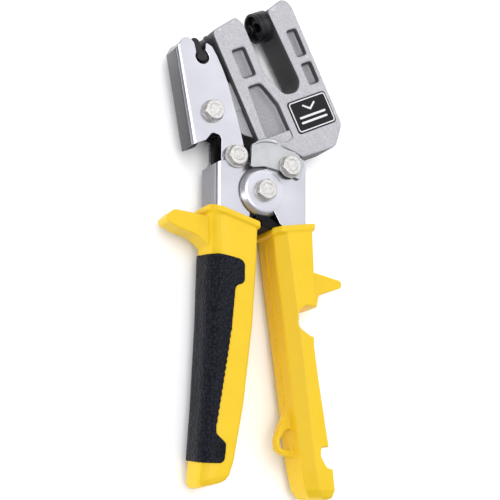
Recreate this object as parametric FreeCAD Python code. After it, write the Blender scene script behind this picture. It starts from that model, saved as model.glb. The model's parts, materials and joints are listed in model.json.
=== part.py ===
# Stud crimper: punch-lock pliers for light steel framing, lying on its back.
# Millimetres. X across the handles, Y towards the head, Z up from the table.
import FreeCAD, Part
import math
import os

os.makedirs("parts", exist_ok=True)

V = FreeCAD.Vector

# Driving dimensions
MID_Z = 14.0
ORIGIN_X = 1.483
ORIGIN_Y = 22.599
HEAD_TILT = 26.0
HEAD_HALF = 10.0
LUG_HALF = 5.5
LOWER_LUG_HALF = 9.4
ROCKER_IN = 6.1
ROCKER_OUT = 7.6
LEFT_IN = 7.9
LEFT_OUT = 9.4
BACK_IN = 9.9
BACK_OUT = 11.7
FRONT_IN = 11.3
FRONT_OUT = 12.9
BACK_FACE = 14.0
BOLT_R = 3.0
PIN_FIT = 0.05
OPEN_PIVOT_FIT = 0.45
HEX_AF = 10.0
MAIN = (0.0, 0.0)
LINK = (-14.5, 17.2)
ROCKER = (-27.3, 39.7)
HEADP = (13.2, 13.9)
AXIS_V = 83.0
PUNCH_R = 2.4
DIE_FACE_U = 40.6
DIE_SEAT_U = 48.3
GRIP_HALF = 14.0

COS = math.cos(math.radians(HEAD_TILT))
SIN = math.sin(math.radians(HEAD_TILT))


# Coordinates across (u) and along (v) the tilted head, given in part X, Y
def head_xy(u, v):
    return (u * COS - v * SIN, u * SIN + v * COS)


def head_points(points):
    out = []
    for p in points:
        x, y = head_xy(p[0], p[1])
        out.append((x, y) + tuple(p[2:]))
    return out


# Closed flat outline with a rounding radius at each corner (0 is sharp)
def outline(points):
    n = len(points)
    edges = []
    ends = []
    for i in range(n):
        p = V(points[i][0], points[i][1], 0)
        r = points[i][2] if len(points[i]) > 2 else 0.0
        a = V(points[i - 1][0], points[i - 1][1], 0)
        b = V(points[(i + 1) % n][0], points[(i + 1) % n][1], 0)
        da = (a - p).normalize()
        db = (b - p).normalize()
        if r <= 0:
            ends.append((p, p, None))
            continue
        half = da.getAngle(db) / 2.0
        cut = r / math.tan(half)
        mid = (da + db).normalize()
        centre = p + mid * (r / math.sin(half))
        ends.append((p + da * cut, p + db * cut, centre - mid * r))
    for i in range(n):
        start, stop, top = ends[i]
        if top is not None:
            edges.append(Part.Arc(start, top, stop).toShape())
        follow = ends[(i + 1) % n][0]
        if (follow - stop).Length > 1e-6:
            edges.append(Part.LineSegment(stop, follow).toShape())
    return Part.Face(Part.Wire(edges))


# Prism of an outline between two heights measured from the mid plane
def slab(points, low, high):
    face = outline(points)
    face.translate(V(0, 0, MID_Z + low))
    return face.extrude(V(0, 0, high - low))


def disc(centre, radius, low, high):
    base = V(centre[0], centre[1], MID_Z + low)
    return Part.makeCylinder(radius, high - low, base)


def hexagon(centre, flats, low, high, turn=0.0):
    radius = flats / math.sqrt(3.0)
    points = []
    for i in range(6):
        a = math.radians(60 * i + turn)
        points.append((centre[0] + radius * math.cos(a), centre[1] + radius * math.sin(a)))
    prism = slab(points, low, high)
    cone = disc(centre, radius * 0.97, low, high)
    return prism.common(cone)


def union(shapes):
    body = shapes[0]
    for item in shapes[1:]:
        body = body.fuse(item)
    return body.removeSplitter()


# Bar along the head's u direction, round, at height v on the mid plane
def rod(u0, u1, v, radius):
    x, y = head_xy(u0, v)
    return Part.makeCylinder(radius, u1 - u0, V(x, y, MID_Z), V(COS, SIN, 0))


# Eight-sided lofted bar through stations (y, x left, x right, half depth, chamfer, slope)
def lofted(stations, grow=0.0):
    wires = []
    for y, left, right, half, cut, slope in stations:
        mid = (left + right) / 2.0
        a = left - grow
        b = right + grow
        h = half + grow
        ring = [(a, -h + cut), (a + cut * 0.8, -h), (b - cut * 0.6, -h), (b, -h + cut),
                (b, h - cut), (b - cut * 0.6, h), (a + cut * 0.8, h), (a, h - cut)]
        pts = [V(x, y + slope * (x - mid), MID_Z + z) for x, z in ring]
        wires.append(Part.makePolygon(pts + [pts[0]]))
    return Part.makeLoft(wires, True, True)


def save(shape, name):
    shape.translate(V(ORIGIN_X, ORIGIN_Y, 0))
    shape.exportStep("parts/" + name + ".step")


# Cast head with the U throat, four pockets, thin left lug and lower lug
def head_casting():
    body = slab(head_points([
        (10.2, 24), (10.2, 86.7, 3), (27.2, 90.2, 2.4), (29.5, 85, 2), (29.5, 57.6, 6),
        (35.8, 43.2, 5), (44.9, 42.4, 6), (48.2, 48, 6), (46.7, 88.6, 2.4), (60.0, 92.8, 3.2),
        (62.2, 86, 3), (62.2, 18.3, 3), (53, 8.3, 3), (31, 9.2), (27.5, 13.4), (22, 18)]),
        -HEAD_HALF, HEAD_HALF)
    lower = slab(head_points([(11.2, 26), (11.2, 8), (18, 0.2, 4), (24.5, 6.5, 3), (31, 10), (31, 26)]),
                 -LOWER_LUG_HALF, LOWER_LUG_HALF)
    thin = slab(head_points([(12, 60), (-3, 56.5, 5), (-14.4, 53, 5), (-14.4, 42, 5), (-5, 39.2, 4),
                             (1, 38, 2), (6, 31), (12, 27)]), -LUG_HALF, LUG_HALF)
    body = union([body, lower, thin])
    holes = [
        head_points([(16.5, 58, 1), (16.5, 74, 1), (24.4, 74, 1), (24.4, 58, 1)]),
        head_points([(16.8, 53.6, 1), (25.2, 53.6, 2), (29, 44, 3), (30.6, 39.6, 2), (30.8, 20.5, 1.5),
                     (25.5, 19.5, 1), (14.8, 25.5, 2)]),
        head_points([(52.8, 60, 1), (52.8, 74.8, 1), (59, 74.8, 1), (59, 60, 1)]),
        head_points([(53, 44, 1), (53, 55.6, 1), (59.6, 55.6, 1), (59.6, 44, 1)])]
    for pts in holes:
        body = body.cut(slab(pts, HEAD_HALF - 2.6, HEAD_HALF + 1))
        body = body.cut(slab(pts, -HEAD_HALF - 1, -HEAD_HALF + 2.6))
    plate_seat = slab(head_points([(34.4, 20.6, 2), (34.4, 38.7, 2), (60, 38.7, 2), (60, 20.6, 2)]),
                      HEAD_HALF - 0.5, HEAD_HALF + 1)
    body = body.cut(plate_seat)
    body = body.cut(rod(5, 32, AXIS_V, 4.0))
    body = body.cut(rod(46, 64, AXIS_V, 4.0))
    body = body.cut(rod(44, DIE_SEAT_U, AXIS_V, 8.35))
    body = body.cut(disc(ROCKER, BOLT_R + PIN_FIT, -12, 12))
    body = body.cut(disc(HEADP, 4.4, -12, 12))
    return body


# Name plate and its raised rim, both plain
def nameplate():
    return slab(head_points([(34.4, 20.6, 2), (34.4, 38.7, 2), (60, 38.7, 2), (60, 20.6, 2)]),
                HEAD_HALF - 0.5, HEAD_HALF + 0.1)


def nameplate_border():
    outer = slab(head_points([(35.3, 21.5, 1.6), (35.3, 37.8, 1.6), (59.1, 37.8, 1.6), (59.1, 21.5, 1.6)]),
                 HEAD_HALF + 0.1, HEAD_HALF + 0.35)
    inner = slab(head_points([(36, 22.2, 1.2), (36, 37.1, 1.2), (58.4, 37.1, 1.2), (58.4, 22.2, 1.2)]),
                 HEAD_HALF, HEAD_HALF + 1)
    return outer.cut(inner)


# Die: flanged holder in the right leg, hardened insert, lock screw from outside
def die_holder():
    shape = rod(DIE_FACE_U + 2.2, DIE_SEAT_U, AXIS_V, 8.3)
    nose = rod(DIE_FACE_U, DIE_FACE_U + 2.2, AXIS_V, 8.0)
    stem = rod(DIE_SEAT_U - 0.6, 55, AXIS_V, 4.0)
    body = union([shape, nose, stem])
    return body.cut(rod(DIE_FACE_U - 1, 47, AXIS_V, 4.2))


def die_insert():
    return rod(DIE_FACE_U + 0.4, 47, AXIS_V, 4.2).cut(rod(DIE_FACE_U - 1, 46, AXIS_V, PUNCH_R + 0.15))


def die_screw():
    screw = rod(55, 62.0, AXIS_V, 4.0)
    x, y = head_xy(60.5, AXIS_V)
    socket = Part.makeCylinder(2.0, 3, V(x, y, MID_Z), V(COS, SIN, 0))
    return screw.cut(socket)


# Guide bush, punch and the tail that the rocker catches
def punch_guide():
    bush = rod(10.4, 29.3, AXIS_V, 4.0)
    return bush.cut(rod(9, 31, AXIS_V, PUNCH_R + PIN_FIT))


def punch():
    body = rod(2.5, 40.3, AXIS_V, PUNCH_R)
    tip = rod(40.3, 41.6, AXIS_V, PUNCH_R - 0.4)
    return union([body, tip])


def punch_tail():
    block = slab(head_points([(-3.2, 77.6, 1.2), (-3.6, 86, 2), (2.2, 87.4, 2), (3.2, 84.9),
                              (3.2, 77.9, 1.5), (2.8, 73.6, 1.2), (-1.8, 73.4, 1.2)]), -5.6, 5.6)
    block = block.cut(rod(2.5, 12, AXIS_V, PUNCH_R))
    x, y = head_xy(0.1, 76.2)
    pin = disc((x, y), 2.8, -ROCKER_OUT - 0.4, ROCKER_OUT + 0.4)
    return union([block, pin])


# Rocker: channel with keyhole slots on top and a leg to the link bolt
def rocker_channel():
    side = [(-47.6, 70.8, 1), (-44.2, 77, 3), (-40.6, 77.6, 2), (-37.6, 74.6, 1), (-36.6, 70.5), (-35.6, 68),
            (-32, 68), (-31.4, 71.5), (-31.3, 76.6, 0.6), (-27.6, 74.8, 2), (-24.6, 70, 8), (-21.6, 64, 8),
            (-18.5, 56.7, 20), (-16, 48.3, 30), (-13.1, 38.9, 20), (-9.7, 25.8, 5), (-8.3, 18, 6),
            (-13.5, 11.2, 5), (-20.6, 11.6, 4), (-22.2, 16, 3), (-22.2, 27.4, 2.2), (-27.2, 28.6, 2.2),
            (-30.6, 24, 1), (-38.2, 20.4, 1)]
    solid = slab(side, -ROCKER_OUT, ROCKER_OUT)
    inner_side = [(-46.0, 70.8), (-43.6, 90), (20, 90), (20, 5), (-36.4, 5), (-36.7, 20.8)]
    body = solid.cut(slab(inner_side, -ROCKER_IN, ROCKER_IN))
    x, y = head_xy(0.1, 75.9)
    body = body.cut(disc((x, y), 3.8, -12, 12))
    body = body.cut(disc(ROCKER, BOLT_R, -12, 12))
    return body.cut(disc(LINK, BOLT_R + OPEN_PIVOT_FIT, -12, 12))


# Black bar between the rocker legs
def rocker_bar():
    bar = slab([(-24, 9.5, 1), (-24.4, 17), (-24.4, 28.2, 2), (-20, 28.2, 1), (-20, 9.5, 1)], -1.4, 3.0)
    return union([bar, disc((-20.8, 14), 1.3, -ROCKER_IN, ROCKER_IN)])


# Steel channel of the left handle: lobe at the link, hub and strap into the grip
def left_channel():
    strap = slab([(-26, -48), (-26, 12.4, 2), (-22.6, 14.2, 1), (-12, 15), (-4, 9), (-8, -9), (-9.4, -48)],
                 -LEFT_OUT, LEFT_OUT)
    lobe = disc(LINK, 6.2, -LEFT_OUT, LEFT_OUT)
    hub = disc(MAIN, 10.2, -LEFT_OUT, LEFT_OUT)
    bridge = slab([(-19.7, 14), (-9.4, 20.8), (8.2, 6), (0, -6), (-12, -4)], -LEFT_OUT, LEFT_OUT)
    body = union([strap, lobe, hub, bridge])
    body = body.cut(slab([(-24.5, -70), (-24.5, 40), (30, 40), (30, -70)], -LEFT_IN, LEFT_IN))
    body = body.cut(disc(MAIN, BOLT_R + PIN_FIT, -12, 12))
    return body.cut(disc(LINK, BOLT_R, -12, 12))


# Steel channel of the right handle: both pivots on its two plates
def right_channel():
    plate = slab([(15, -48), (12.4, -22), (8.6, -16.5, 2), (3, -10.4), (-4, 2), (4, 12), (22, 20.8, 3),
                  (24.3, 17, 1.5), (24.3, -48)], -BACK_OUT, FRONT_OUT)
    hub = disc(MAIN, 10.8, -BACK_OUT, FRONT_OUT)
    eye = disc(HEADP, 8.6, -BACK_OUT, FRONT_OUT)
    body = union([plate, hub, eye])
    body = body.cut(slab([(-30, -70), (-30, 40), (22.6, 40), (22.6, -70)], -BACK_IN, FRONT_IN))
    body = body.cut(slab([(20, 8), (20, 40), (40, 40), (40, 8)], -BACK_IN, FRONT_IN))
    body = body.cut(disc(MAIN, BOLT_R, -20, 20))
    return body.cut(disc(HEADP, BOLT_R, -20, 20))


def hub_boss():
    base = MID_Z + LEFT_OUT + 0.15
    flare = Part.makeCone(12.3, 11.3, MID_Z + FRONT_IN - base, V(0, 0, base), V(0, 0, 1))
    return flare.cut(disc(MAIN, BOLT_R, 0, 30))


# Hexagon bolt with its shank; nut and washer for the far side
def bolt(centre, head_low, head_high, shank_end, turn):
    head = hexagon(centre, HEX_AF, head_low, head_high, turn)
    shank = disc(centre, BOLT_R, shank_end, head_low)
    return union([head, shank])


def nut(centre, low, high, turn):
    return hexagon(centre, HEX_AF, low, high, turn).cut(disc(centre, BOLT_R, -30, 30))


def ring(centre, outer, inner, low, high):
    return disc(centre, outer, low, high).cut(disc(centre, inner, low - 1, high + 1))


# Lock strap over the hub, hung on the head pivot
def latch_plate():
    pts = [(-8.2, 23.4, 1.5), (0.2, 27.2, 9), (7.4, 26.2, 2), (11.2, 23.3), (16, 22.6, 3), (22.6, 17.4, 3),
           (19.4, 7.6, 1), (11, 10.6, 8), (-1.2, 12.2, 8), (-9.0, 10.6, 1.5)]
    plate = slab(pts, FRONT_OUT + 0.1, FRONT_OUT + 1.7)
    return plate.cut(disc(HEADP, BOLT_R + PIN_FIT, 0, 30))


# Torsion spring around the main sleeve with one leg to each handle web
def return_spring():
    wire_r = 0.7
    coil_r = 6.3
    helix = Part.makeHelix(1.8, 4.5, coil_r)
    helix.translate(V(0, 0, MID_Z - 2.25))
    profile = Part.Wire(Part.makeCircle(wire_r, V(coil_r, 0, MID_Z - 2.25), V(0, 1, 0)))
    coil = Part.Wire(helix).makePipeShell([profile], True, True)
    a = V(coil_r, 0, MID_Z - 2.25)
    b = V(-coil_r, 0, MID_Z + 2.25)
    leg_a = Part.makeCylinder(wire_r, 16.0, a, V(14.8, -5.5, 0))
    leg_b = Part.makeCylinder(wire_r, 18.4, b, V(-17.0, -6.0, 0))
    return union([coil, leg_a, leg_b])


# Rubber stop block between the plates of the right handle
def stop_block():
    return slab([(-4.8, -12.4, 1), (2.5, -12.6, 1), (8.6, -16.6, 1), (14.4, -16.6), (15.6, -34, 1),
                 (13.4, -34, 1), (11.4, -24, 1), (3.4, -24.6, 1), (-1.2, -20, 1), (-1.4, -15.4, 1),
                 (-4.4, -14.8, 0.5)], -BACK_IN, FRONT_IN)


LEFT_STATIONS = [(-149.3, -32.4, -20.6, 9.8, 4, 0.04), (-146, -34.0, -18.5, 12.0, 4, 0.02),
                 (-137, -33.2, -16.3, 12.6, 4, 0), (-110, -31.2, -11.4, 12.8, 4.5, 0),
                 (-70, -29.4, -6.4, 13.0, 5, 0), (-34, -28.4, -4.0, 13.2, 5, -0.05),
                 (-15, -28.8, -3.4, 13.2, 4, -0.27)]
LEFT_LIP = [(-17.2, -28.9, -3.3, 13.3, 4, -0.27), (-16.2, -29.9, -2.3, 14.0, 4, -0.27),
            (-13.3, -29.9, -2.3, 14.0, 4, -0.27)]
RIGHT_STATIONS = [(-153.6, 28.6, 39.0, 9.4, 3.5, 0), (-150.0, 25.0, 41.4, 12.0, 4, 0),
                  (-140, 22.8, 40.4, 12.8, 4.5, 0), (-127, 20.8, 37.8, 13, 4.5, 0),
                  (-95, 16.6, 32.8, 13.2, 5, 0), (-77, 14.2, 30.2, 13.4, 5, 0),
                  (-57, 11.6, 30.8, 13.8, 5, 0), (-19, 6.6, 29.4, 13.8, 5, 0.2)]
RIGHT_LIP = [(-22.2, 6.7, 29.4, 13.8, 5, 0.2), (-21.0, 5.8, 30.2, 14.0, 5, 0.2),
             (-18.0, 5.8, 30.2, 14.0, 5, 0.2)]


# Plastic grip on the left channel with its finger guard
def left_grip():
    body = lofted(LEFT_STATIONS)
    lip = lofted(LEFT_LIP)
    guard = slab([(-53, -19.4, 2), (-46.8, -13.4, 2), (-30, -14.6), (-20, -16), (-20, -32), (-27.4, -31),
                  (-34.4, -25.4, 5), (-43, -23.2)], -6.1, 6.1)
    body = union([body, guard, lip])
    return body.cut(slab([(-26, -48), (-26, 10), (-8, 10), (-8, -9), (-9.4, -48)], -LEFT_OUT, LEFT_OUT))


# Soft inlay over the outer side of the left grip
def left_inlay():
    skin = lofted(LEFT_STATIONS, 0.8)
    region = slab([(-50, -37.2), (-25, -34.6, 8), (-11.6, -36.8, 4), (-11.6, -48.6, 3), (-16.6, -50.2, 3),
                   (-18.6, -71), (-22, -98), (-24.6, -121, 2), (-20.6, -126.6, 2), (-22.2, -137.4, 3),
                   (-50, -138.6)], -20, 20)
    body = skin.common(region).cut(lofted(LEFT_STATIONS))
    return body.cut(slab([(-20, -160), (-20, 0), (4, 0), (4, -160)], -20, 0))


# Plastic grip on the right channel with guard, finger notches and lanyard loop
def right_grip():
    body = lofted(RIGHT_STATIONS)
    lip = lofted(RIGHT_LIP)
    guard = slab([(20, -34), (30, -37.6), (47.9, -41, 1.5), (48.6, -44.6, 1.5), (34.6, -49.6, 2),
                  (33.2, -56.6, 1), (20, -57)], -6.3, 6.3)
    loop = slab([(22, -101), (18.2, -108, 5), (13.8, -117, 4), (11.2, -123.8, 3),
                 (11.8, -129.8, 3), (16.5, -132.2, 2), (24, -133.2)],
                -2.2, 2.2)
    body = union([body, guard, loop, lip])
    notch_a = slab([(60, -57.2), (22.6, -57.4, 2), (18.9, -61, 3),
                    (19.1, -68.8, 3), (25.6, -72.8, 1), (60, -78)],
                   -20, 20)
    notch_b = slab([(60, -127.2), (31.4, -127.8, 1.5), (30.8, -132.4, 2.5),
                    (34.8, -138.4, 2), (60, -140.4)], -20, 20)
    eye = slab([(20, -118.6, 0.8), (17, -119.4, 1), (13.5, -124.4, 2), (14.1, -128.6, 1.5), (20.4, -129.6, 0.8)],
               -2.6, 2.6)
    body = body.cut(notch_a).cut(notch_b).cut(eye)
    body = body.cut(slab([(15, -48), (12.35, -22), (7.6, -15), (8, 10), (24.3, 10), (24.3, -48)],
                         -BACK_OUT, FRONT_OUT))
    return body.cut(stop_block())


save(head_casting(), "head_casting")
save(nameplate(), "nameplate")
save(nameplate_border(), "nameplate_border")
save(die_holder(), "die_holder")
save(die_insert(), "die_insert")
save(die_screw(), "die_screw")
save(punch_guide(), "punch_guide")
save(ring(HEADP, 4.4, BOLT_R + PIN_FIT, -9.4, 9.4), "head_pivot_bush")
save(punch(), "punch")
save(punch_tail(), "punch_tail")
save(rocker_channel(), "rocker_channel")
save(rocker_bar(), "rocker_bar")
save(bolt(ROCKER, ROCKER_OUT, 11.5, -11.4, 15), "rocker_bolt")
save(nut(ROCKER, -11.6, -ROCKER_OUT, 15), "rocker_nut")
save(ring(ROCKER, 6.0, BOLT_R, 5.6, ROCKER_IN), "rocker_washer_front")
save(ring(ROCKER, 6.0, BOLT_R, -ROCKER_IN, -5.6), "rocker_washer_back")
save(left_channel(), "left_channel")
save(left_grip(), "left_grip")
save(left_inlay(), "left_grip_inlay")
save(bolt(LINK, 10.2, 12.8, -13.6, 5), "link_bolt")
save(nut(LINK, -13.8, -LEFT_OUT, 5), "link_nut")
save(ring(LINK, 6.4, BOLT_R, LEFT_OUT, 10.2), "link_washer")
save(ring(LINK, 4.2, BOLT_R, -6.0, 6.0), "link_spacer")
save(ring(MAIN, 5.0, BOLT_R + PIN_FIT, -LEFT_IN, LEFT_IN), "main_sleeve")
save(return_spring(), "return_spring")
save(right_channel(), "right_channel")
save(hub_boss(), "hub_boss")
save(bolt(MAIN, FRONT_OUT, 16.6, -13.9, 25), "main_bolt")
save(nut(MAIN, -BACK_FACE, -BACK_OUT, 25), "main_nut")
save(bolt(HEADP, FRONT_OUT + 1.8, 18.2, -13.9, 10), "head_pivot_bolt")
save(nut(HEADP, -BACK_FACE, -BACK_OUT, 10), "head_pivot_nut")
save(ring(HEADP, 6.2, BOLT_R, LOWER_LUG_HALF + 0.15, FRONT_IN), "head_spacer")
save(right_grip(), "right_grip")
save(stop_block(), "stop_block")
save(latch_plate(), "latch_plate")
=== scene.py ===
import json
import math
import bpy
import bmesh
from mathutils import Matrix, Vector


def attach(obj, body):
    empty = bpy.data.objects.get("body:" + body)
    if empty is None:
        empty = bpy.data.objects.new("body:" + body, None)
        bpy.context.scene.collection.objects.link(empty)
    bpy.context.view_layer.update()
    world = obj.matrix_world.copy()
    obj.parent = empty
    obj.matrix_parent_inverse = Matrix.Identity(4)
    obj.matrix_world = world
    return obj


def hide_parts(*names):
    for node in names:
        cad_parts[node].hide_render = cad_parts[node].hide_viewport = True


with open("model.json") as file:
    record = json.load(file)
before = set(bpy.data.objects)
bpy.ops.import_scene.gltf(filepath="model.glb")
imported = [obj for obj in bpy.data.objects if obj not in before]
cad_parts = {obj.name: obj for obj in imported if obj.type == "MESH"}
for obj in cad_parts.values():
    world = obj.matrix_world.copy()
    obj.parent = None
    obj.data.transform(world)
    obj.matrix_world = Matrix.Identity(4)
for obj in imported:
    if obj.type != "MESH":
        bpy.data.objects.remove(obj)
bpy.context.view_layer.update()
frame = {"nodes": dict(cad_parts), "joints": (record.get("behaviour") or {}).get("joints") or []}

# Studio: a pale bench top under the tool, a long-lens camera off its lower left,
# a broad softbox overhead, a tall one at the left and a small one at the far right.
main_pivot = Vector(next(j for j in frame["joints"] if j["name"] == "handle_fold")["pos_m"])
camera_data = bpy.data.cameras.new("camera")
camera_data.lens = 98.2
camera_data.sensor_width = 36.0
camera_data.clip_start = 0.01
camera_data.clip_end = 20.0
camera = bpy.data.objects.new("camera", camera_data)
bpy.context.scene.collection.objects.link(camera)
camera_right = Vector((0.89101, 0.0, 0.45399))
camera_up = Vector((-0.10598, 0.97237, 0.20800))
camera_back = camera_right.cross(camera_up)
camera_turn = Matrix((camera_right, camera_up, camera_back)).transposed()
camera_at = main_pivot + Vector((-0.30914, -0.19093, 0.60272))
camera.matrix_world = Matrix.Translation(camera_at) @ camera_turn.to_4x4()
bpy.context.scene.camera = camera
bpy.context.scene.view_settings.view_transform = "Standard"

bench_mesh = bpy.data.meshes.new("bench")
bench_half = 3.0
bench_top = -0.0004
bench_mesh.from_pydata([(-bench_half, -bench_half, bench_top), (bench_half, -bench_half, bench_top),
                        (bench_half, bench_half, bench_top), (-bench_half, bench_half, bench_top)],
                       [], [(0, 1, 2, 3)])
bench = bpy.data.objects.new("bench", bench_mesh)
bpy.context.scene.collection.objects.link(bench)
bench_paint = bpy.data.materials.new("bench_paint")
bench_paint.use_nodes = True
bench_coat = bench_paint.node_tree.nodes["Principled BSDF"]
bench_coat.inputs["Base Color"].default_value = (0.93, 0.93, 0.93, 1)
bench_coat.inputs["Roughness"].default_value = 0.9
bench_mesh.materials.append(bench_paint)

for lamp_name, place, size, watts in (
        ("softbox_over", (-0.35, 0.10, 1.40), (1.0, 1.0), 11.0),
        ("softbox_left", (-1.20, -0.25, 0.65), (0.4, 0.9), 5.5),
        ("softbox_right", (0.9, 0.9, 0.9), (0.4, 0.4), 3.0)):
    lamp_data = bpy.data.lights.new(lamp_name, "AREA")
    lamp_data.shape = "RECTANGLE"
    lamp_data.size = size[0]
    lamp_data.size_y = size[1]
    lamp_data.energy = watts
    lamp = bpy.data.objects.new(lamp_name, lamp_data)
    lamp.location = place
    lamp.rotation_euler = (-Vector(place)).to_track_quat("-Z", "Y").to_euler()
    bpy.context.scene.collection.objects.link(lamp)

room = bpy.data.worlds.new("room")
room.use_nodes = True
room_nodes = room.node_tree.nodes
room_links = room.node_tree.links
brightest_way = (0.44, 0.23, 0.87)
sky_at = room_nodes.new("ShaderNodeTexCoord")
sky_height = room_nodes.new("ShaderNodeVectorMath")
sky_height.operation = "DOT_PRODUCT"
sky_height.inputs[1].default_value = brightest_way
sky_ramp = room_nodes.new("ShaderNodeValToRGB")
sky_ramp.color_ramp.elements[0].position = 0.15
sky_ramp.color_ramp.elements[0].color = (0.22, 0.22, 0.24, 1)
sky_ramp.color_ramp.elements[1].position = 0.9
sky_ramp.color_ramp.elements[1].color = (0.92, 0.92, 0.95, 1)
room_links.new(sky_at.outputs["Generated"], sky_height.inputs[0])
room_links.new(sky_height.outputs["Value"], sky_ramp.inputs["Fac"])
room_links.new(sky_ramp.outputs["Color"], room_nodes["Background"].inputs["Color"])
room_nodes["Background"].inputs["Strength"].default_value = 1.45
bpy.context.scene.world = room


# Head: one aluminium casting with a U throat, dished pockets on both faces,
# a thin left lug for the rocker and a lower lug for the head bolt. The mould
# leaves rounded edges and shot-blasting leaves an even fine grain.
millimetre = 0.001
head_tilt = math.radians(26.0)
punch_line = 83.0
head_half = 9.97
pocket_floor = 6.4
pocket_draft = 1.1
lower_lug_half = 9.35
left_lug_half = 5.45
rocker_bolt_at = (-27.3, 39.7)
head_bolt_at = (13.2, 13.9)


# x runs across the tool, y up it and f up from its middle plane, all in
# millimetres from the main bolt. The head has its own tilted u and v.
def at(x, y, f=0.0):
    return main_pivot + Vector((x, y, f)) * millimetre


def on_head(u, v):
    return (u * math.cos(head_tilt) - v * math.sin(head_tilt),
            u * math.sin(head_tilt) + v * math.cos(head_tilt))


def tilted(corners):
    return [on_head(c[0], c[1]) + tuple(c[2:]) for c in corners]


def panel(left, bottom, right, top, radius=0.0):
    return [(left, bottom, radius), (left, top, radius), (right, top, radius), (right, bottom, radius)]


# A corner is (x, y) or (x, y, radius).
def rounded(corners):
    degrees_a_facet = 9.0
    line = []
    count = len(corners)
    for i, corner in enumerate(corners):
        p = Vector(corner[:2])
        radius = corner[2] if len(corner) > 2 else 0.0
        if radius <= 0:
            line.append(p)
            continue
        a = (Vector(corners[i - 1][:2]) - p).normalized()
        b = (Vector(corners[(i + 1) % count][:2]) - p).normalized()
        half = a.angle(b) / 2
        centre = p + (a + b).normalized() * (radius / math.sin(half))
        first = p + a * (radius / math.tan(half)) - centre
        sweep = math.pi - 2 * half
        way = 1.0 if (first.x * (p - centre).y - first.y * (p - centre).x) > 0 else -1.0
        turns = max(2, int(math.degrees(sweep) / degrees_a_facet))
        for k in range(turns + 1):
            angle = way * sweep * k / turns
            line.append(centre + Vector((first.x * math.cos(angle) - first.y * math.sin(angle),
                                         first.x * math.sin(angle) + first.y * math.cos(angle))))
    return line


# Rings of points are skinned into a solid: capped at both ends, or closed in a loop.
def skinned(name, rings, capped=True):
    build = bmesh.new()
    rows = [[build.verts.new(point) for point in ring] for ring in rings]
    pairs = list(zip(rows, rows[1:]))
    if capped:
        build.faces.new(list(reversed(rows[0])))
        build.faces.new(rows[-1])
    else:
        pairs.append((rows[-1], rows[0]))
    for one, two in pairs:
        for k in range(len(one)):
            j = (k + 1) % len(one)
            build.faces.new((one[k], one[j], two[j], two[k]))
    bmesh.ops.recalc_face_normals(build, faces=build.faces)
    mesh = bpy.data.meshes.new(name)
    build.to_mesh(mesh)
    build.free()
    piece = bpy.data.objects.new(name, mesh)
    bpy.context.scene.collection.objects.link(piece)
    return piece


# A flat blank with rounded corners between two heights.
def blank(name, corners, low, high):
    line = rounded(corners)
    return skinned(name, [[at(p.x, p.y, f) for p in line] for f in (low, high)])


def circle(centre, radius, sides=40):
    return [(centre[0] + radius * math.cos(2 * math.pi * k / sides),
             centre[1] + radius * math.sin(2 * math.pi * k / sides)) for k in range(sides)]


def settle(piece):
    ready = piece.evaluated_get(bpy.context.evaluated_depsgraph_get())
    mesh = bpy.data.meshes.new_from_object(ready)
    old = piece.data
    piece.modifiers.clear()
    piece.data = mesh
    bpy.data.meshes.remove(old)
    piece.data.name = piece.name
    return piece


def joined(piece, tools, operation):
    for tool in tools:
        step = piece.modifiers.new("step", "BOOLEAN")
        step.operation = operation
        step.solver = "EXACT"
        step.object = tool
        settle(piece)
        bpy.data.objects.remove(tool)
    return piece


def cut(piece, *tools):
    return joined(piece, tools, "DIFFERENCE")


def add(piece, *tools):
    return joined(piece, tools, "UNION")


def smoothed(piece):
    for face in piece.data.polygons:
        face.use_smooth = True
    return piece


# Cast and moulded pieces: the whole skin is remade in small cells and relaxed.
def cast(piece, voxel, rounds, keep):
    cells = piece.modifiers.new("cells", "REMESH")
    cells.mode = "VOXEL"
    cells.voxel_size = voxel * millimetre
    relax = piece.modifiers.new("relax", "SMOOTH")
    relax.factor = 0.5
    relax.iterations = rounds
    settle(piece)
    thin = piece.modifiers.new("thin", "DECIMATE")
    thin.ratio = keep
    settle(piece)
    return smoothed(piece)


# Worn edges, used by every finish: a mask along convex edges, broken up by noise.
edge_wear = bpy.data.node_groups.new("edge_wear", "ShaderNodeTree")
for socket, kind, way, start in (
        ("Pointiness", "NodeSocketFloat", "INPUT", 0.5),
        ("Edge", "NodeSocketFloat", "INPUT", 0.53),
        ("Breakup", "NodeSocketFloat", "INPUT", 900.0),
        ("Wear", "NodeSocketFloat", "OUTPUT", None)):
    made = edge_wear.interface.new_socket(socket, in_out=way, socket_type=kind)
    if start is not None:
        made.default_value = start
wear_sharpness = 18.0
wear_in = edge_wear.nodes.new("NodeGroupInput")
wear_out = edge_wear.nodes.new("NodeGroupOutput")
wear_place = edge_wear.nodes.new("ShaderNodeTexCoord")
wear_noise = edge_wear.nodes.new("ShaderNodeTexNoise")
wear_noise.inputs["Detail"].default_value = 5.0
wear_less = edge_wear.nodes.new("ShaderNodeMath")
wear_less.operation = "SUBTRACT"
wear_gain = edge_wear.nodes.new("ShaderNodeMath")
wear_gain.operation = "MULTIPLY"
wear_gain.inputs[1].default_value = wear_sharpness
wear_mix = edge_wear.nodes.new("ShaderNodeMath")
wear_mix.operation = "MULTIPLY"
wear_mix.use_clamp = True
edge_wear.links.new(wear_place.outputs["Object"], wear_noise.inputs["Vector"])
edge_wear.links.new(wear_in.outputs["Breakup"], wear_noise.inputs["Scale"])
edge_wear.links.new(wear_in.outputs["Pointiness"], wear_less.inputs[0])
edge_wear.links.new(wear_in.outputs["Edge"], wear_less.inputs[1])
edge_wear.links.new(wear_less.outputs[0], wear_gain.inputs[0])
edge_wear.links.new(wear_gain.outputs[0], wear_mix.inputs[0])
edge_wear.links.new(wear_noise.outputs["Fac"], wear_mix.inputs[1])
edge_wear.links.new(wear_mix.outputs[0], wear_out.inputs["Wear"])

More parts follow.
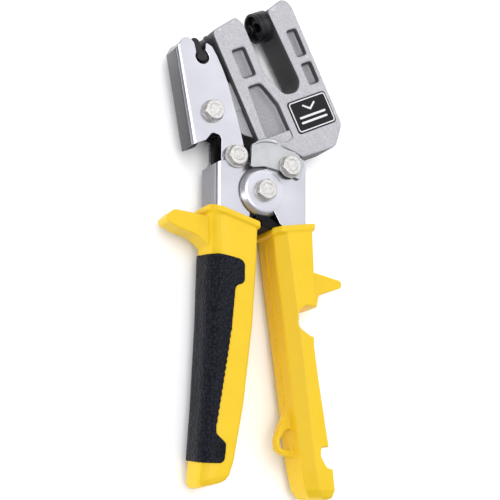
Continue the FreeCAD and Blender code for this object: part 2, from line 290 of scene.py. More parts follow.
# Surface grain, used by every finish: a fine and a broad noise, put out as a
# tone, a speckle and a normal.
grain = bpy.data.node_groups.new("grain", "ShaderNodeTree")
for socket, kind, way, start in (
        ("Fine", "NodeSocketFloat", "INPUT", 2500.0),
        ("Broad", "NodeSocketFloat", "INPUT", 120.0),
        ("Depth", "NodeSocketFloat", "INPUT", 0.3),
        ("Tone", "NodeSocketFloat", "OUTPUT", None),
        ("Speckle", "NodeSocketFloat", "OUTPUT", None),
        ("Normal", "NodeSocketVector", "OUTPUT", None)):
    made = grain.interface.new_socket(socket, in_out=way, socket_type=kind)
    if start is not None:
        made.default_value = start
grain_in = grain.nodes.new("NodeGroupInput")
grain_out = grain.nodes.new("NodeGroupOutput")
grain_place = grain.nodes.new("ShaderNodeTexCoord")
grain_fine = grain.nodes.new("ShaderNodeTexNoise")
grain_fine.inputs["Detail"].default_value = 3.0
grain_broad = grain.nodes.new("ShaderNodeTexNoise")
grain_broad.inputs["Detail"].default_value = 6.0
grain_bump = grain.nodes.new("ShaderNodeBump")
grain_bump.inputs["Distance"].default_value = 0.2 * millimetre
grain.links.new(grain_place.outputs["Object"], grain_fine.inputs["Vector"])
grain.links.new(grain_place.outputs["Object"], grain_broad.inputs["Vector"])
grain.links.new(grain_in.outputs["Fine"], grain_fine.inputs["Scale"])
grain.links.new(grain_in.outputs["Broad"], grain_broad.inputs["Scale"])
grain.links.new(grain_in.outputs["Depth"], grain_bump.inputs["Strength"])
grain.links.new(grain_fine.outputs["Fac"], grain_bump.inputs["Height"])
grain.links.new(grain_broad.outputs["Fac"], grain_out.inputs["Tone"])
grain.links.new(grain_fine.outputs["Fac"], grain_out.inputs["Speckle"])
grain.links.new(grain_bump.outputs["Normal"], grain_out.inputs["Normal"])


# dark and light are the two tones of the broad noise and worn is the edge colour.
# sides scales the colour of walls, painted shade below one and painted light above one; speck the fine
# mottling, rough_swing the gloss.
def finish_material(name, dark, light, worn, roughness, metallic, fine, broad, depth,
                    edge=0.56, rough_swing=0.12, sides=1.0, speck=0.0, gloss=0.5):
    material = bpy.data.materials.new(name)
    material.use_nodes = True
    nodes = material.node_tree.nodes
    links = material.node_tree.links
    skin = nodes["Principled BSDF"]
    skin.inputs["Metallic"].default_value = metallic
    skin.inputs["Specular IOR Level"].default_value = gloss
    texture = nodes.new("ShaderNodeGroup")
    texture.node_tree = grain
    texture.inputs["Fine"].default_value = fine
    texture.inputs["Broad"].default_value = broad
    texture.inputs["Depth"].default_value = depth
    wear = nodes.new("ShaderNodeGroup")
    wear.node_tree = edge_wear
    wear.inputs["Edge"].default_value = edge
    shape = nodes.new("ShaderNodeNewGeometry")
    links.new(shape.outputs["Pointiness"], wear.inputs["Pointiness"])
    tone = nodes.new("ShaderNodeMix")
    tone.data_type = "RGBA"
    tone.inputs["A"].default_value = dark + (1,)
    tone.inputs["B"].default_value = light + (1,)
    links.new(texture.outputs["Tone"], tone.inputs["Factor"])
    rub = nodes.new("ShaderNodeMix")
    rub.data_type = "RGBA"
    rub.inputs["B"].default_value = worn + (1,)
    links.new(wear.outputs["Wear"], rub.inputs["Factor"])
    links.new(tone.outputs["Result"], rub.inputs["A"])
    # Painted light and shade: the colour of walls, whose normal turns away from the piece's z axis, is
    # scaled by sides, darker below one and lighter above one.
    facing = nodes.new("ShaderNodeTexCoord")
    facing_parts = nodes.new("ShaderNodeSeparateXYZ")
    upright = nodes.new("ShaderNodeMath")
    upright.operation = "ABSOLUTE"
    walls = nodes.new("ShaderNodeMapRange")
    walls.interpolation_type = "SMOOTHSTEP"
    walls.inputs["From Min"].default_value = 0.25
    walls.inputs["From Max"].default_value = 0.6
    walls.inputs["To Min"].default_value = sides
    walls.inputs["To Max"].default_value = 1.0
    painted_wall_shading = nodes.new("ShaderNodeMix")
    painted_wall_shading.data_type = "RGBA"
    painted_wall_shading.blend_type = "MULTIPLY"
    painted_wall_shading.inputs["Factor"].default_value = 1.0
    links.new(facing.outputs["Normal"], facing_parts.inputs["Vector"])
    links.new(facing_parts.outputs["Z"], upright.inputs[0])
    links.new(upright.outputs[0], walls.inputs["Value"])
    links.new(walls.outputs["Result"], painted_wall_shading.inputs["B"])
    links.new(rub.outputs["Result"], painted_wall_shading.inputs["A"])
    flecks = nodes.new("ShaderNodeMapRange")
    flecks.inputs["From Min"].default_value = 0.35
    flecks.inputs["From Max"].default_value = 0.65
    flecks.inputs["To Min"].default_value = 1.0 - speck
    flecks.inputs["To Max"].default_value = 1.0 + speck
    dust = nodes.new("ShaderNodeMix")
    dust.data_type = "RGBA"
    dust.blend_type = "MULTIPLY"
    dust.inputs["Factor"].default_value = 1.0
    links.new(texture.outputs["Speckle"], flecks.inputs["Value"])
    links.new(painted_wall_shading.outputs["Result"], dust.inputs["A"])
    links.new(flecks.outputs["Result"], dust.inputs["B"])
    links.new(dust.outputs["Result"], skin.inputs["Base Color"])
    sheen = nodes.new("ShaderNodeMapRange")
    sheen.inputs["From Min"].default_value = 0.3
    sheen.inputs["From Max"].default_value = 0.7
    sheen.inputs["To Min"].default_value = roughness - rough_swing / 2
    sheen.inputs["To Max"].default_value = roughness + rough_swing / 2
    links.new(texture.outputs["Tone"], sheen.inputs["Value"])
    links.new(sheen.outputs["Result"], skin.inputs["Roughness"])
    links.new(texture.outputs["Normal"], skin.inputs["Normal"])
    return material


# The walls of the cast pieces are painted much darker by sides: painted shade.
cast_aluminium = finish_material(
    "cast_aluminium", dark=(0.29, 0.29, 0.305), light=(0.42, 0.42, 0.435), worn=(0.52, 0.52, 0.54),
    roughness=0.55, metallic=0.35, fine=1900.0, broad=160.0, depth=0.7, sides=0.22, speck=0.16)

# The head's own copy of the finish carries painted shade: everything nearer the middle plane than the
# faces, such as the pocket floors and the middle of the throat and of the walls, is painted darker, down
# to seven tenths.
recess_shaded_aluminium = cast_aluminium.copy()
recess_shaded_aluminium.name = "recess_shaded_aluminium"
pocket_nodes = recess_shaded_aluminium.node_tree.nodes
pocket_links = recess_shaded_aluminium.node_tree.links
pocket_skin = pocket_nodes["Principled BSDF"]
face_colour = pocket_skin.inputs["Base Color"].links[0].from_socket
place = pocket_nodes.new("ShaderNodeTexCoord")
place_parts = pocket_nodes.new("ShaderNodeSeparateXYZ")
from_middle = pocket_nodes.new("ShaderNodeMath")
from_middle.operation = "SUBTRACT"
from_middle.inputs[1].default_value = main_pivot.z
depth_in = pocket_nodes.new("ShaderNodeMath")
depth_in.operation = "ABSOLUTE"
recess_shade_ramp = pocket_nodes.new("ShaderNodeMapRange")
recess_shade_ramp.interpolation_type = "SMOOTHSTEP"
recess_shade_ramp.inputs["From Min"].default_value = 6.6 * millimetre
recess_shade_ramp.inputs["From Max"].default_value = 8.6 * millimetre
recess_shade_ramp.inputs["To Min"].default_value = 0.7
recess_shade_ramp.inputs["To Max"].default_value = 1.0
recess_shade_mix = pocket_nodes.new("ShaderNodeMix")
recess_shade_mix.data_type = "RGBA"
recess_shade_mix.blend_type = "MULTIPLY"
recess_shade_mix.inputs["Factor"].default_value = 1.0
pocket_links.new(place.outputs["Object"], place_parts.inputs["Vector"])
pocket_links.new(place_parts.outputs["Z"], from_middle.inputs[0])
pocket_links.new(from_middle.outputs[0], depth_in.inputs[0])
pocket_links.new(depth_in.outputs[0], recess_shade_ramp.inputs["Value"])
pocket_links.new(face_colour, recess_shade_mix.inputs["A"])
pocket_links.new(recess_shade_ramp.outputs["Result"], recess_shade_mix.inputs["B"])
pocket_links.new(recess_shade_mix.outputs["Result"], pocket_skin.inputs["Base Color"])

head = blank("head_body", tilted([
    (10.2, 24, 1.5), (10.2, 86.7, 3.4), (27.2, 90.2, 3.0), (29.5, 85, 2), (29.5, 57.6, 6),
    (35.8, 43.2, 5), (44.9, 42.4, 6), (48.2, 48, 6), (46.7, 88.6, 2.6), (60.0, 92.8, 4.5), (62.2, 86, 3),
    (62.2, 18.3, 6), (53, 8.3, 5), (31, 9.2, 1), (27.5, 13.4, 1), (22, 18, 2)]), -head_half, head_half)


# A pocket's walls lean in by the draft from the face down to its floor. The tool
# that cuts it reaches past the face on both sides of the head.
def drafted(corners, side):
    line = rounded(tilted(corners))
    middle = sum(line, Vector((0, 0))) / len(line)
    rings = []
    for f, pull in ((pocket_floor, pocket_draft), (10.0, 0.0), (13.0, 0.0)):
        rings.append([at(*(p + (middle - p).normalized() * pull), side * f) for p in line])
    return skinned("pocket", rings)


for pocket in (
        panel(16.2, 57.8, 24.9, 74.2, 1.3),
        [(16.8, 53.6, 1.3), (25.2, 53.6, 3), (29, 44, 3), (30.6, 39.6, 2), (30.8, 20.5, 1.5),
         (25.5, 19.5, 1.5), (14.8, 25.5, 2)],
        panel(52.5, 59.6, 59.4, 75.2, 1.3),
        panel(52.8, 43.6, 60, 56, 1.3)):
    cut(head, drafted(pocket, 1), drafted(pocket, -1))
cut(head, blank("plate_seat", tilted(panel(34.4, 20.6, 60, 38.7, 2)), 9.5, 14))


def head_ring(u, radius, sides):
    across = Vector((-math.sin(head_tilt), math.cos(head_tilt), 0))
    upward = Vector((0, 0, 1))
    centre = at(*on_head(u, punch_line))
    turns = [2 * math.pi * k / sides for k in range(sides)]
    return [centre + (across * math.cos(a) + upward * math.sin(a)) * radius * millimetre for a in turns]


def bored(name, start, end, radius):
    return skinned(name, [head_ring(u, radius, 48) for u in (start, end)])


cut(head, bored("bore", 5, 32, 4.0), bored("bore", 46, 70, 4.0), bored("seat", 44, 48.3, 8.3))
cast(head, voxel=0.4, rounds=5, keep=0.5)
head.data.materials.append(recess_shaded_aluminium)
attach(head, "head")

lower_lug = blank("head_lower_lug", tilted([(11.4, 25), (11.4, 8), (18, 0.3, 4), (24.4, 6.6, 3),
                                            (30.6, 10.4), (30.6, 25)]),
                  -lower_lug_half, lower_lug_half)
cut(lower_lug, blank("bore", circle(head_bolt_at, 4.4), -20, 20))
cast(lower_lug, voxel=0.4, rounds=4, keep=0.5)
left_lug = blank("head_left_lug", tilted([(12, 60), (-3, 56.5, 5), (-14.4, 53, 5), (-14.4, 42, 5),
                                          (-5, 39.2, 4), (1, 38, 2), (6, 31, 1), (12, 27)]),
                 -left_lug_half, left_lug_half)
lug_step = blank("lug_step", tilted([(12, 58.6), (3.5, 56.6, 1), (5.6, 44.2, 0.8), (12, 43.6)]), 5.0, 6.0)
add(left_lug, lug_step)
cut(left_lug, blank("bore", circle(rocker_bolt_at, 3.05), -20, 20))
cast(left_lug, voxel=0.4, rounds=4, keep=0.5)
for lug in (lower_lug, left_lug):
    lug.data.materials.append(cast_aluminium)
    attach(lug, "head")
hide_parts("head_casting")


# Name plate: a black enamelled plate set in a shallow seat in the head, with a
# raised pale rim, two plain bars and a chevron.
enamel = finish_material(
    "black_enamel", dark=(0.006, 0.006, 0.007), light=(0.011, 0.011, 0.013), worn=(0.04, 0.04, 0.045),
    roughness=0.42, metallic=0.0, fine=900.0, broad=200.0, depth=0.08, gloss=0.12)
rim_paint = finish_material(
    "rim_paint", dark=(0.52, 0.52, 0.53), light=(0.62, 0.62, 0.63), worn=(0.4, 0.4, 0.42),
    roughness=0.4, metallic=0.1, fine=1400.0, broad=240.0, depth=0.1, edge=0.57)


# Plate work: flat faces are kept whole and every sharp edge gets a small round.
def eased(piece, width, segments=3, angle=32.0):
    tidy = bmesh.new()
    tidy.from_mesh(piece.data)
    bmesh.ops.remove_doubles(tidy, verts=tidy.verts, dist=0.01 * millimetre)
    bmesh.ops.dissolve_limit(tidy, angle_limit=math.radians(1.0), verts=tidy.verts, edges=tidy.edges)
    tidy.to_mesh(piece.data)
    tidy.free()
    smoothed(piece)
    soft = piece.modifiers.new("soft", "BEVEL")
    soft.width = width * millimetre
    soft.segments = segments
    soft.limit_method = "ANGLE"
    soft.angle_limit = math.radians(angle)
    soft.use_clamp_overlap = False
    soft.miter_outer = "MITER_ARC"
    soft.harden_normals = True
    return settle(piece)


plate = blank("name_plate", tilted(panel(34.5, 20.7, 59.9, 38.6, 1.9)), 9.52, 10.05)
eased(plate, 0.15, segments=2)
plate.data.materials.append(enamel)
rim = blank("name_plate_rim", tilted(panel(35.2, 21.4, 59.2, 37.9, 1.7)), 10.0, 10.32)
cut(rim, blank("inside", tilted(panel(35.85, 22.05, 58.55, 37.25, 1.2)), 9, 12))
eased(rim, 0.1, segments=2)
rim.data.materials.append(rim_paint)
bars = blank("name_plate_bars", tilted(panel(38.6, 25.2, 55.8, 26.4, 0.6)), 10.0, 10.22)
add(bars, blank("bar", tilted(panel(38.6, 28.0, 55.8, 29.2, 0.6)), 10.0, 10.22),
    blank("chevron", tilted([(42.2, 35.0, 0.4), (47.2, 31.2, 0.6), (52.2, 35.0, 0.4), (50.6, 35.0, 0.3),
                             (47.2, 32.6, 0.6), (43.8, 35.0, 0.3)]), 10.0, 10.22))
eased(bars, 0.08, segments=2)
bars.data.materials.append(rim_paint)
for piece, node, finish in (
        (plate, "nameplate", "plate_black"),
        (rim, "nameplate_border", "plate_rim"),
        (bars, None, "plate_rim")):
    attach(piece, "head")
    if node:
        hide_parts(node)


# Die: a blackened steel holder turned with a stepped, chamfered nose, seated in
# the right leg and locked by a socket screw; a hardened insert takes the punch.
black_oxide = finish_material(
    "black_oxide", dark=(0.006, 0.006, 0.007), light=(0.014, 0.014, 0.016), worn=(0.09, 0.09, 0.10),
    roughness=0.36, metallic=0.2, fine=1500.0, broad=180.0, depth=0.2, gloss=0.3)


# A profile is a loop of (distance along the punch line, radius).
def turned(name, profile):
    piece = smoothed(skinned(name, [head_ring(u, radius, 64) for u, radius in profile], capped=False))
    piece.data.set_sharp_from_angle(angle=math.radians(30))
    return piece


die = turned("die_body", [(48.25, 8.25), (43.0, 8.25), (42.7, 8.0), (42.4, 8.0), (42.1, 8.2), (40.7, 8.2),
                          (40.3, 7.9), (40.2, 7.4), (40.3, 6.9), (40.9, 6.5), (43.4, 6.1), (43.6, 5.6),
                          (43.6, 4.3), (48.25, 4.3)])
stem = turned("die_stem", [(54.9, 3.9), (47.9, 3.9), (47.9, 0.4), (54.9, 0.4)])
insert = turned("die_insert_ring", [(47.0, 4.2), (42.9, 4.2), (42.6, 3.9), (42.6, 3.0), (43.1, 2.6),
                                    (46, 2.6), (47, 2.6)])
screw = turned("die_lock_screw", [(55, 3.9), (61.4, 3.9), (61.9, 3.4), (61.9, 2.2), (60.5, 2.0),
                                  (60.5, 0.3), (55, 0.3)])
for piece, node in ((die, "die_holder"), (stem, None), (insert, "die_insert"), (screw, "die_screw")):
    piece.data.materials.append(black_oxide)
    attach(piece, "head")
    if node:
        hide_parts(node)


# Punch: a ground black rod in a blackened bush, with a hooked tail whose cross pin sits in the keyhole
# slots of the rocker.
ground_black = finish_material(
    "ground_black", dark=(0.008, 0.008, 0.009), light=(0.020, 0.020, 0.022), worn=(0.12, 0.12, 0.13),
    roughness=0.22, metallic=0.4, fine=2200.0, broad=220.0, depth=0.15, gloss=0.4)
bronze = finish_material(
    "bronze", dark=(0.32, 0.20, 0.09), light=(0.48, 0.32, 0.15), worn=(0.62, 0.45, 0.25),
    roughness=0.38, metallic=0.9, fine=1800.0, broad=200.0, depth=0.2, edge=0.53)
cross_pin_at = (0.1, 76.2)
rod = turned("punch_rod", [(2.6, 0.3), (2.6, 2.45), (37.4, 2.45), (37.8, 2.3), (38.2, 2.45), (40.2, 2.45),
                           (41.2, 1.9), (41.55, 1.4), (41.6, 0.3)])
tail = blank("punch_hook", tilted([(-3.2, 77.6, 1.4), (-3.7, 86, 2.4), (2.2, 87.6, 2.6), (3.2, 84.9, 1),
                                   (3.2, 77.9, 1.8), (2.8, 73.6, 1.2), (-1.8, 73.4, 1.2)]), -5.5, 5.5)
groove_half = 0.35
for groove_v in (78.9, 80.5, 82.1, 83.7):
    groove = panel(-5.4, groove_v - groove_half, -2.9, groove_v + groove_half)
    cut(tail, blank("groove", tilted(groove), -9, 9))
eased(tail, 0.3, segments=2)
tail_pin = blank("punch_cross_pin", circle(on_head(*cross_pin_at), 2.75), -7.9, 7.9)
eased(tail_pin, 0.35, segments=3)
for piece in (rod, tail, tail_pin):
    piece.data.materials.append(ground_black)
    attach(piece, "punch_slide")
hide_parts("punch")
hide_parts("punch_tail")


# Rocker: a channel blanked from steel plate, folded round a tight radius with
# its web outwards and bright zinc plated. The keyhole slots at its top hold the
# punch pin and one leg runs down to the link bolt.
# The rocker's walls, its web among them, are painted much darker by sides: painted shade.
bright_zinc = finish_material(
    "bright_zinc", dark=(0.50, 0.50, 0.535), light=(0.59, 0.59, 0.63), worn=(0.72, 0.72, 0.74),
    roughness=0.20, metallic=1.0, fine=700.0, broad=60.0, depth=0.05, rough_swing=0.10, sides=0.12)


def folded(name, corners, low, high, on_web, radius):
    piece = blank(name, corners, low, high)
    build = bmesh.new()
    build.from_mesh(piece.data)
    web = [e for e in build.edges
           if len(e.link_faces) == 2 and all(on_web((v.co - main_pivot) / millimetre) for v in e.verts)
           and abs(e.verts[0].co.z - e.verts[1].co.z) < 1e-6]
    bmesh.ops.bevel(build, geom=web, offset=radius * millimetre, segments=7, profile=0.5,
                    affect="EDGES", clamp_overlap=False)
    build.to_mesh(piece.data)
    build.free()
    return piece


def plated(piece, node, body, plating=bright_zinc):
    piece.data.materials.append(plating)
    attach(piece, body)
    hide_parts(node)


def near_line(a, b, reach=0.02):
    def test(p):
        d = Vector((b[0] - a[0], b[1] - a[1]))
        q = Vector((p.x - a[0], p.y - a[1]))
        return abs(d.x * q.y - d.y * q.x) / d.length < reach
    return test


rocker = folded("rocker_steel", [
    (-47.6, 70.8), (-44.2, 77, 3), (-40.6, 77.6, 2), (-37.8, 75.0, 1.4), (-36.7, 70.5, 1), (-35.6, 68),
    (-32, 68), (-31.5, 71.5, 1), (-31.3, 76.6, 0.8), (-27.6, 74.8, 2), (-24.6, 70, 8), (-21.6, 64, 8),
    (-18.5, 56.7, 20), (-16, 48.3, 30), (-13.1, 38.9, 20), (-9.7, 25.8, 5), (-8.3, 18, 6),
    (-13.5, 11.2, 5), (-20.6, 11.6, 4), (-22.2, 16, 3), (-22.2, 27.4, 2.2), (-27.2, 28.6, 2.2),
    (-30.6, 24, 1), (-38.2, 20.4)],
    -7.55, 7.55, near_line((-47.6, 70.8), (-38.2, 20.4)), 2.4)
hollow_outline = [(-46.0, 70.8), (-43.6, 90), (20, 90), (20, 5), (-36.4, 5), (-36.7, 20.8)]
hollow = folded("hollow", hollow_outline, -6.1, 6.1, near_line((-46.0, 70.8), (-36.7, 20.8)), 0.9)
cut(rocker, hollow, blank("keyhole", circle(on_head(0.1, 75.9), 3.8), -12, 12))
eased(rocker, 0.28, segments=2, angle=40)
plated(rocker, "rocker_channel", "rocker")


# Left handle channel: folded steel plate, bright zinc plated, with its web
# outwards, a lobe for the link bolt, a round hub behind the right plate and a
# strap that runs down into the grip.
# The walls of both handle channels, their webs among them, are painted darker by sides: painted shade.
channel_zinc = finish_material(
    "channel_zinc", dark=(0.46, 0.46, 0.495), light=(0.54, 0.54, 0.58), worn=(0.66, 0.66, 0.68),
    roughness=0.25, metallic=1.0, fine=700.0, broad=60.0, depth=0.05, rough_swing=0.10, sides=0.5)
link_bolt_at = (-14.5, 17.2)
main_bolt_at = (0.0, 0.0)


def arc(centre, radius, start, end, step):
    return [(centre[0] + radius * math.cos(math.radians(a)),
             centre[1] + radius * math.sin(math.radians(a))) for a in range(start, end, step)]


left_outline = ([(-26, -48), (-26, 12.4), (-22.6, 14.2, 1), (-20.2, 14.5)]
                + arc(link_bolt_at, 6.2, 205, -31, -12) + [(7.4, 7.2, 1)]
                + arc(main_bolt_at, 10.2, 40, -131, -10) + [(-9.4, -48)])
left_steel = folded("left_steel", left_outline, -9.38, 9.38, near_line((-26, -48), (-26, 12.4)), 2.9)
hollow = folded("hollow", panel(-24.5, -70, 30, 40), -7.9, 7.9,
                near_line((-24.5, -70), (-24.5, 40)), 1.4)
cut(left_steel, hollow)
eased(left_steel, 0.28, segments=2, angle=40)
plated(left_steel, "left_channel", "left_handle", channel_zinc)


# Right handle channel: folded steel plate whose front stands proud, with a round
# seat for the hub and an eye for the head bolt; its web is on the outer side.
right_outline = ([(16, -30), (13.8, -19.5), (10.6, -17.8, 1), (8.6, -16.6, 1)]
                 + arc(main_bolt_at, 10.8, -64, -246, -7) + [(4.4, 13.2, 1)]
                 + arc(head_bolt_at, 8.6, 165, 30, -10) + [(22.6, 19.6, 1.5), (24.3, 17), (24.3, -30)])
right_steel = folded("right_steel", right_outline, -11.68, 12.88, near_line((24.3, 17), (24.3, -30)), 2.2)
hollow = folded("hollow", panel(-30, -70, 22.6, 40), -9.9, 11.3,
                near_line((22.6, 40), (22.6, -70)), 0.8)
cut(right_steel, hollow, blank("clear", panel(20, 8, 40, 40), -9.9, 11.3))
eased(right_steel, 0.3, segments=2, angle=40)
plated(right_steel, "right_channel", "right_handle", channel_zinc)


# Hub: a domed steel boss, pressed and zinc plated, clamped between the right
# plate and the head of the main bolt.
hub_profile = [(13.1, 9.56), (13.35, 9.75), (13.3, 10.0), (12.9, 10.7), (12.3, 11.5), (11.6, 12.3),
               (11.0, 12.75), (10.4, 12.96), (9.9, 13.0), (6.0, 13.0), (0.01, 13.0), (0.01, 9.56)]
hub_turns = [math.radians(a) for a in range(0, 360, 5)]
hub = smoothed(skinned("hub_dome", [[at(r * math.cos(a), r * math.sin(a), f) for a in hub_turns]
                                    for r, f in hub_profile], capped=False))
hub.data.set_sharp_from_angle(angle=math.radians(40))
# The hub's sloped flank is painted darker by sides: painted shade.
hub_zinc = finish_material(
    "hub_zinc", dark=(0.46, 0.46, 0.495), light=(0.54, 0.54, 0.58), worn=(0.66, 0.66, 0.68),
    roughness=0.30, metallic=0.85, fine=1500.0, broad=60.0, depth=0.15, rough_swing=0.1, sides=0.3)
plated(hub, "hub_boss", "right_handle", hub_zinc)


# Lock strap: a short curved plate of zinc plated steel hung on the head bolt, its
# upper edge rolled over so a thumb can lift it off the link bolt.
# The strap's edges and walls are painted darker by sides: painted shade.
strap_zinc = finish_material(
    "strap_zinc", dark=(0.36, 0.37, 0.375), light=(0.45, 0.46, 0.465), worn=(0.6, 0.6, 0.6),
    roughness=0.28, metallic=0.9, fine=900.0, broad=120.0, depth=0.12, sides=0.4)
strap = blank("lock_strap", [(-8.2, 23.2, 1.5), (-3.6, 26.0, 8), (0.4, 27.1, 9), (7.0, 26.4, 1.5),
                             (8.8, 24.2, 1.5), (12.0, 22.6, 2), (16.4, 22.4, 3), (22.6, 17.4, 3),
                             (19.4, 7.6, 1), (11, 10.6, 8), (-1.2, 12.2, 8),
                             (-9.0, 10.6, 1.5)], 13.0, 14.55)
eased(strap, 0.3, segments=3)
plated(strap, "latch_plate", "latch", strap_zinc)
crest = [(-7.6, 22.8), (-5.6, 24.3), (-3.2, 25.5), (-0.4, 26.2), (2.4, 26.3), (5.0, 26.0), (7.0, 25.4)]
roll_turns = [math.radians(a) for a in range(0, 360, 24)]
roll_rings = []
for k, (x, y) in enumerate(crest):
    swell = 0.55 + 0.45 * math.sin(math.pi * k / (len(crest) - 1))
    roll_rings.append([at(x + 0.195 * math.cos(a), y + 1.25 * swell * math.cos(a),
                          14.35 + 0.95 * swell * math.sin(a)) for a in roll_turns])
strap_roll = skinned("lock_strap_roll", roll_rings)
smooth_roll = strap_roll.modifiers.new("soft", "SUBSURF")
smooth_roll.levels = 2
smooth_roll.render_levels = 2
smoothed(settle(strap_roll))
strap_roll.data.materials.append(strap_zinc)
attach(strap_roll, "latch")


# Fasteners: M6 hexagon bolts with a chamfered crown and washer face, nuts and
# plain washers, all dull zinc plated with worn corners. Washers, bushes and the
# sleeve that the plates hide are the plain machined parts.
dull_zinc = finish_material(
    "dull_zinc", dark=(0.34, 0.335, 0.32), light=(0.60, 0.59, 0.57), worn=(0.66, 0.66, 0.64),
    roughness=0.42, metallic=0.8, fine=900.0, broad=620.0, depth=0.6, edge=0.55, rough_swing=0.25,
    speck=0.12)


def hexed(name, centre, low, high, turn, bore=0.0, crown=True):
    across_flats = 10.0
    chamfer_drop = 1.35
    dish_depth = 0.3
    radius = across_flats / math.sqrt(3)
    corners = [(centre[0] + radius * math.cos(math.radians(60 * k + turn)),
                centre[1] + radius * math.sin(math.radians(60 * k + turn))) for k in range(6)]
    piece = blank(name, corners, low, high)
    chamfer = [(low - 1, radius + 3), (high - chamfer_drop, radius + 0.25), (high, radius * 0.84),
               (high + 0.001, 0.001)]
    rings = [[at(x, y, f) for x, y in circle(centre, r, 48)] for f, r in chamfer]
    joined(piece, [skinned("cone", rings)], "INTERSECT")
    if bore:
        cut(piece, blank("bore", circle(centre, bore), low - 5, high + 5))
    if crown:
        cut(piece, blank("dish", circle(centre, radius * 0.52), high - dish_depth, high + 2))
    eased(piece, 0.2, segments=2, angle=25)
    return piece


def shank(name, centre, low, high, radius=2.98):
    piece = blank(name, circle(centre, radius, 40), low, high)
    eased(piece, 0.3, segments=2)
    return piece


def washer(name, centre, outer, low, high):
    piece = blank(name, circle(centre, outer, 56), low, high)
    cut(piece, blank("bore", circle(centre, 3.0), low - 3, high + 3))
    eased(piece, 0.2, segments=2)
    return piece


# Each is placed by its centre and by the heights of its two ends.
fasteners = [
    (hexed("rocker_bolt_head", rocker_bolt_at, 8.2, 11.5, 15), "rocker_bolt", "rocker"),
    (washer("rocker_bolt_flange", rocker_bolt_at, 5.9, 7.56, 8.25), None, "rocker"),
    (shank("rocker_bolt_shank", rocker_bolt_at, -11.3, 8.3), None, "rocker"),
    (hexed("rocker_nut_body", rocker_bolt_at, -11.5, -7.6, 15, 3.0, False), "rocker_nut", "rocker"),
    (hexed("link_nut_front", link_bolt_at, 10.2, 12.8, 5, 2.9, False), "link_bolt", "left_handle"),
    (shank("link_bolt_shank", link_bolt_at, -13.6, 12.85, 2.9), None, "left_handle"),
    (washer("link_washer_front", link_bolt_at, 6.3, 9.42, 10.22), "link_washer", "left_handle"),
    (hexed("link_bolt_back", link_bolt_at, -13.7, -9.42, 5, 2.9, False), "link_nut", "left_handle"),
    (hexed("main_bolt_head", main_bolt_at, 13.5, 16.6, 25), "main_bolt", "right_handle"),
    (washer("main_bolt_flange", main_bolt_at, 5.9, 12.88, 13.55), None, "right_handle"),
    (shank("main_bolt_shank", main_bolt_at, -13.9, 13.6), None, "right_handle"),
    (hexed("main_nut_body", main_bolt_at, -13.95, -11.7, 25, 3.0, False), "main_nut", "right_handle"),
    (hexed("head_bolt_head", head_bolt_at, 15.2, 18.2, 10), "head_pivot_bolt", "right_handle"),
    (washer("head_bolt_flange", head_bolt_at, 6.0, 14.62, 15.25), None, "right_handle"),
    (shank("head_bolt_shank", head_bolt_at, -13.9, 15.3), None, "right_handle"),
    (hexed("head_nut_body", head_bolt_at, -13.95, -11.7, 10, 3.0, False), "head_pivot_nut",
     "right_handle")]
for piece, node, body in fasteners:
    piece.data.materials.append(dull_zinc)
    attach(piece, body)
    if node:
        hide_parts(node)
for node, material in (("punch_guide", black_oxide), ("head_pivot_bush", bronze), ("main_sleeve", bronze),
                       ("rocker_washer_front", dull_zinc), ("rocker_washer_back", dull_zinc),
                       ("link_spacer", dull_zinc), ("head_spacer", dull_zinc)):
    shown = frame["nodes"][node]
    shown.data.materials.clear()
    shown.data.materials.append(material)


# Return spring: oiled steel wire wound two and a half turns round the main
# sleeve, with one leg pressing on each web.
oiled_wire = finish_material(
    "oiled_wire", dark=(0.16, 0.16, 0.17), light=(0.30, 0.30, 0.32), worn=(0.5, 0.5, 0.5),
    roughness=0.3, metallic=0.95, fine=1600.0, broad=300.0, depth=0.2, edge=0.53)
wire = bpy.data.curves.new("spring_wire", "CURVE")
wire.dimensions = "3D"
wire.bevel_depth = 0.68 * millimetre
wire.bevel_resolution = 5
coil = wire.splines.new("POLY")
coil_radius = 6.3
coil_height = 4.5
coil_turns = 2.5
coil_steps = 90
route = [(21.4, -5.6, -coil_height / 2)]
for k in range(coil_steps + 1):
    a = 2 * math.pi * coil_turns * k / coil_steps
    route.append((coil_radius * math.cos(a), coil_radius * math.sin(a),
                  coil_height * (k / coil_steps - 0.5)))
route.append((-23.4, -6.0, coil_height / 2))
coil.points.add(len(route) - 1)
for point, place in zip(coil.points, route):
    point.co = at(*place).to_4d()
spring = bpy.data.objects.new("spring_wire", wire)
bpy.context.scene.collection.objects.link(spring)
wire.materials.append(oiled_wire)
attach(spring, "left_handle")
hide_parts("return_spring")


